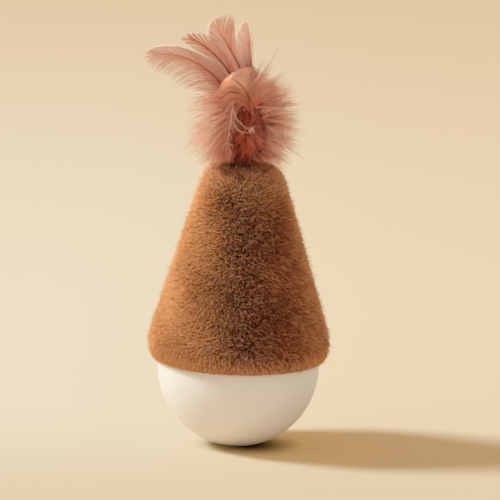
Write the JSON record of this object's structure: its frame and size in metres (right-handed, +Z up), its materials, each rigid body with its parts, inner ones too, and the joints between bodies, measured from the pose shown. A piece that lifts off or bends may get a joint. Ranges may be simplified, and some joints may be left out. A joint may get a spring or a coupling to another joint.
{
  "type": "tumbler cat toy",
  "caption": "Self-righting cat toy: weighted ball-bottomed plastic bowl under a plush cone, with a feather and down plume that nods, sways and pulls out.",
  "frame": {"origin": "middle of the small moulded flat spot under the bowl, on the cone's axis, where the toy touches the floor", "axes": "+Z up along the cone's axis, -Y towards the front seam and the curled feather, +X to the right; the long feather leans to -X"},
  "size_m": [0.0826, 0.0774, 0.1883],
  "materials": {
    "bowl_plastic": "satin",
    "core_plastic": "matte",
    "cast_slug": "matte",
    "screw_steel": "satin",
    "foam": "matte",
    "tape_weave": "matte",
    "brown_plush": "matte",
    "grommet_rubber": "matte",
    "socket_plastic": "satin",
    "dyed_thread": "matte",
    "dyed_feather": "satin",
    "dyed_down": "matte"
  },
  "bodies": {
    "base": {"base_bowl": "bowl_plastic", "ballast_weight": "cast_slug", "ballast_washer": "screw_steel", "ballast_screw": "screw_steel", "joint_plate": "core_plastic", "plate_screws": "screw_steel", "cone_core": "core_plastic", "socket_cap": "core_plastic", "cap_screws": "screw_steel", "padding_sleeve": "foam", "hem_tape": "tape_weave", "plush_panel_left": "brown_plush", "plush_panel_right": "brown_plush", "plush_crown": "brown_plush"},
    "grommet": {"rubber_grommet": "grommet_rubber"},
    "bead": {"swivel_bead": "socket_plastic"},
    "plume": {"plume_peg": "socket_plastic", "binding_thread": "dyed_thread", "feather_long": "dyed_feather", "feather_narrow": "dyed_feather", "feather_tall": "dyed_feather", "feather_upright": "dyed_feather", "feather_curled": "dyed_feather", "down_back_right": "dyed_down", "down_back_left": "dyed_down", "down_front_left": "dyed_down", "down_front_right": "dyed_down"}
  },
  "joints": [
    {"name": "plume_nod", "type": "hinge", "parent": "base", "child": "grommet", "pos_m": [0, 0, 0.114], "axis": [1, 0, 0], "range_deg": [-12, 12], "stiffness_Nm_per_rad": 0.03},
    {"name": "plume_sway", "type": "hinge", "parent": "grommet", "child": "bead", "pos_m": [0, 0, 0.114], "axis": [0, 1, 0], "range_deg": [-12, 12], "stiffness_Nm_per_rad": 0.03},
    {"name": "plume_pull", "type": "slide", "parent": "bead", "child": "plume", "axis": [0, 0, 1], "range_m": [0, 0.016]}
  ]
}
